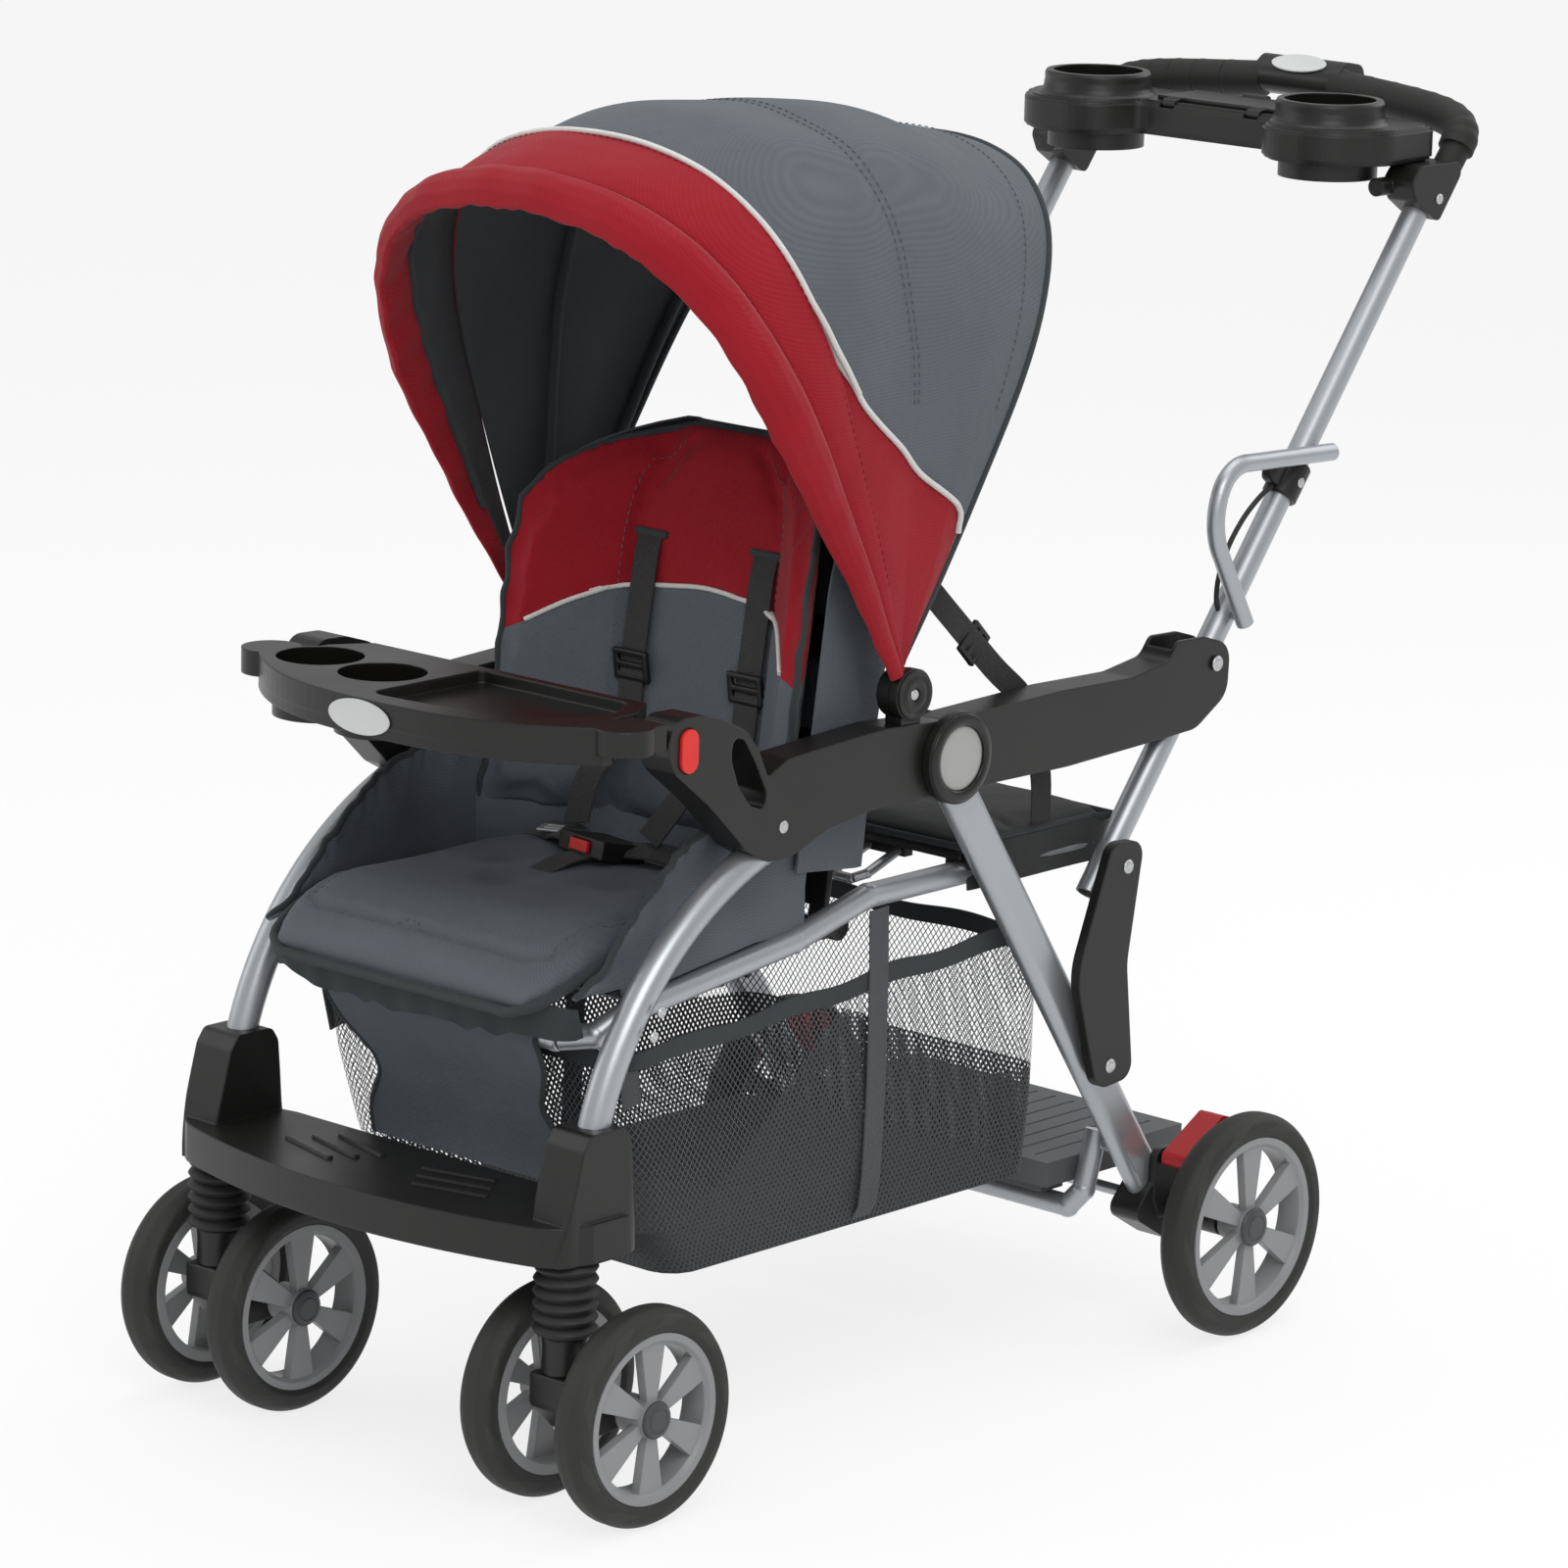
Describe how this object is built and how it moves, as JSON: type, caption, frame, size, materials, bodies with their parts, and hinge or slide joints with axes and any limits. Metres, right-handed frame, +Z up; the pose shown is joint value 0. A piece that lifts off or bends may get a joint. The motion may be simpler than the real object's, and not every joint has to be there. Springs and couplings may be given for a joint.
{
  "type": "tandem stroller",
  "caption": "Sit-and-stand stroller: hooded front seat with tray, rear jump seat, standing platform, basket, swivel twin casters, fold-down frame",
  "frame": {"origin": "on the floor under the middle of the bounding box", "axes": "+Z up, the front of the stroller towards -Y, the seated child's left towards +X"},
  "size_m": [0.546, 1.1944, 1.0404],
  "materials": {
    "silver_tube": "satin silver painted tube",
    "black_plastic": "fine grained black moulding",
    "steel": "plain pin",
    "grey_fabric": "woven slate grey polyester",
    "black_fabric": "woven black polyester",
    "mesh_fabric": "open charcoal mesh",
    "red_plastic": "bright red moulding",
    "black_webbing": "narrow black webbing",
    "red_fabric": "woven deep red polyester",
    "grey_plastic": "grained dark grey moulding",
    "black_grip": "soft touch grip",
    "tyre": "foam rubber tyre",
    "silver_plastic": "silver grey spoked wheel",
    "black_rubber": "ribbed bellows"
  },
  "bodies": {
    "front_body": {"front_legs": "silver_tube", "footrest": "black_plastic", "front_arms": "black_plastic", "pivot_covers": "black_plastic", "pivot_pins": "steel", "seat_rails": "silver_tube", "seat_deck": "black_plastic", "seat_pad": "grey_fabric", "seat_wings": "grey_fabric", "calf_panel": "grey_fabric", "rear_seat": "black_plastic", "rear_seat_pad": "black_fabric", "basket": "mesh_fabric", "canopy_rear": "grey_fabric", "canopy_clamps": "black_plastic", "harness_buckle": "black_plastic", "lap_straps": "black_webbing", "boot_left": "black_rubber", "boot_right": "black_rubber"},
    "buckle_button": {"buckle_button": "red_plastic"},
    "seat_back": {"back_board": "black_plastic", "seat_back_pad": "red_fabric", "shoulder_straps": "black_webbing"},
    "canopy_mid": {"canopy_mid": "grey_fabric"},
    "canopy_visor": {"canopy_visor": "red_fabric"},
    "child_tray": {"child_tray": "black_plastic"},
    "tray_button_left": {"tray_button_left": "red_plastic"},
    "tray_button_right": {"tray_button_right": "red_plastic"},
    "rear_frame": {"rear_legs": "silver_tube", "rear_brackets": "black_plastic", "rear_axle": "silver_tube", "standing_platform": "grey_plastic"},
    "rear_arms": {"rear_arms": "black_plastic"},
    "fold_links": {"fold_links": "black_plastic"},
    "handle": {"handle_tubes": "silver_tube", "handle_brackets": "black_plastic", "handle_grip": "black_grip", "parent_tray": "black_plastic", "grab_bars": "silver_tube"},
    "tray_lid": {"tray_lid": "black_plastic"},
    "fold_button": {"fold_button": "red_plastic"},
    "strut_left": {"strut_left": "black_plastic"},
    "caster_left": {"caster_left": "black_plastic"},
    "wheel_front_left_outer": {"tyre_front_left_outer": "tyre", "rim_front_left_outer": "silver_plastic"},
    "wheel_front_left_inner": {"tyre_front_left_inner": "tyre", "rim_front_left_inner": "silver_plastic"},
    "wheel_rear_left": {"tyre_rear_left": "tyre", "rim_rear_left": "silver_plastic"},
    "brake_left": {"brake_left": "red_plastic"},
    "strut_right": {"strut_right": "black_plastic"},
    "caster_right": {"caster_right": "black_plastic"},
    "wheel_front_right_outer": {"tyre_front_right_outer": "tyre", "rim_front_right_outer": "silver_plastic"},
    "wheel_front_right_inner": {"tyre_front_right_inner": "tyre", "rim_front_right_inner": "silver_plastic"},
    "wheel_rear_right": {"tyre_rear_right": "tyre", "rim_rear_right": "silver_plastic"},
    "brake_right": {"brake_right": "red_plastic"}
  },
  "joints": [
    {"name": "fold", "type": "hinge", "parent": "front_body", "child": "rear_frame", "pos_m": [0, -0.12325, 0.537], "axis": [-1, 0, 0], "range_deg": [0, 26]},
    {"name": "rear_arm_fold", "type": "hinge", "parent": "rear_frame", "child": "rear_arms", "pos_m": [0, -0.12325, 0.537], "axis": [-1, 0, 0], "range_deg": [0, 31]},
    {"name": "handle_fold", "type": "hinge", "parent": "rear_arms", "child": "handle", "pos_m": [0, 0.20575, 0.566], "axis": [1, 0, 0], "range_deg": [0, 88.04]},
    {"name": "link_fold", "type": "hinge", "parent": "rear_frame", "child": "fold_links", "pos_m": [0, 0.07535, 0.2488], "axis": [-1, 0, 0], "range_deg": [0, 97.76]},
    {"name": "recline", "type": "hinge", "parent": "front_body", "child": "seat_back", "pos_m": [0, -0.18625, 0.398], "axis": [1, 0, 0], "range_deg": [-18, 0]},
    {"name": "canopy_fold", "type": "hinge", "parent": "front_body", "child": "canopy_mid", "pos_m": [0, -0.17325, 0.594], "axis": [-1, 0, 0], "range_deg": [0, 18]},
    {"name": "canopy_visor_fold", "type": "hinge", "parent": "canopy_mid", "child": "canopy_visor", "pos_m": [0, -0.17325, 0.594], "axis": [-1, 0, 0], "range_deg": [0, 19]},
    {"name": "child_tray_swing", "type": "hinge", "parent": "front_body", "child": "child_tray", "pos_m": [-0.192, -0.47925, 0.601], "axis": [0, 0, -1], "range_deg": [0, 100]},
    {"name": "tray_button_left_press", "type": "slide", "parent": "front_body", "child": "tray_button_left", "axis": [-1, 0, 0], "range_m": [0, 0.004], "stiffness_N_per_m": 300},
    {"name": "suspension_left", "type": "slide", "parent": "front_body", "child": "strut_left", "axis": [0, 0, 1], "range_m": [0, 0.012], "stiffness_N_per_m": 12000, "springref_m": -0.004, "deforming": ["boot_left"]},
    {"name": "caster_left_swivel", "type": "hinge", "parent": "strut_left", "child": "caster_left", "pos_m": [0.192, -0.53225, 0.12], "axis": [0, 0, 1], "continuous": true},
    {"name": "wheel_front_left_outer_spin", "type": "hinge", "parent": "caster_left", "child": "wheel_front_left_outer", "pos_m": [0.242, -0.49825, 0.0865], "axis": [1, 0, 0], "continuous": true},
    {"name": "wheel_front_left_inner_spin", "type": "hinge", "parent": "caster_left", "child": "wheel_front_left_inner", "pos_m": [0.142, -0.49825, 0.0865], "axis": [1, 0, 0], "continuous": true},
    {"name": "wheel_rear_left_spin", "type": "hinge", "parent": "rear_frame", "child": "wheel_rear_left", "pos_m": [0.258, 0.20875, 0.095], "axis": [1, 0, 0], "continuous": true},
    {"name": "brake_left_press", "type": "hinge", "parent": "rear_frame", "child": "brake_left", "pos_m": [0.226, 0.16275, 0.15], "axis": [-1, 0, 0], "range_deg": [0, 20]},
    {"name": "tray_button_right_press", "type": "slide", "parent": "front_body", "child": "tray_button_right", "axis": [1, 0, 0], "range_m": [0, 0.004], "stiffness_N_per_m": 300},
    {"name": "suspension_right", "type": "slide", "parent": "front_body", "child": "strut_right", "axis": [0, 0, 1], "range_m": [0, 0.012], "stiffness_N_per_m": 12000, "springref_m": -0.004, "deforming": ["boot_right"]},
    {"name": "caster_right_swivel", "type": "hinge", "parent": "strut_right", "child": "caster_right", "pos_m": [-0.192, -0.53225, 0.12], "axis": [0, 0, 1], "continuous": true},
    {"name": "wheel_front_right_outer_spin", "type": "hinge", "parent": "caster_right", "child": "wheel_front_right_outer", "pos_m": [-0.242, -0.49825, 0.0865], "axis": [1, 0, 0], "continuous": true},
    {"name": "wheel_front_right_inner_spin", "type": "hinge", "parent": "caster_right", "child": "wheel_front_right_inner", "pos_m": [-0.142, -0.49825, 0.0865], "axis": [1, 0, 0], "continuous": true},
    {"name": "wheel_rear_right_spin", "type": "hinge", "parent": "rear_frame", "child": "wheel_rear_right", "pos_m": [-0.258, 0.20875, 0.095], "axis": [1, 0, 0], "continuous": true},
    {"name": "brake_right_press", "type": "hinge", "parent": "rear_frame", "child": "brake_right", "pos_m": [-0.226, 0.16275, 0.15], "axis": [-1, 0, 0], "range_deg": [0, 20]},
    {"name": "tray_lid_open", "type": "hinge", "parent": "handle", "child": "tray_lid", "pos_m": [0, 0.43875, 0.984], "axis": [1, 0, 0], "range_deg": [0, 100]},
    {"name": "fold_button_press", "type": "slide", "parent": "handle", "child": "fold_button", "axis": [0, -1, 0], "range_m": [0, 0.004], "stiffness_N_per_m": 300},
    {"name": "buckle_button_press", "type": "slide", "parent": "front_body", "child": "buckle_button", "axis": [0.1361, 0.9686, -0.2079], "range_m": [0, 0.002], "stiffness_N_per_m": 300}
  ],
  "couplings": [
    {"joint": "rear_arm_fold", "follows": "fold", "ratio": 1.1923},
    {"joint": "handle_fold", "follows": "fold", "ratio": 3.386},
    {"joint": "link_fold", "follows": "fold", "ratio": 3.7601},
    {"joint": "canopy_visor_fold", "follows": "canopy_fold", "ratio": 1.0556}
  ]
}
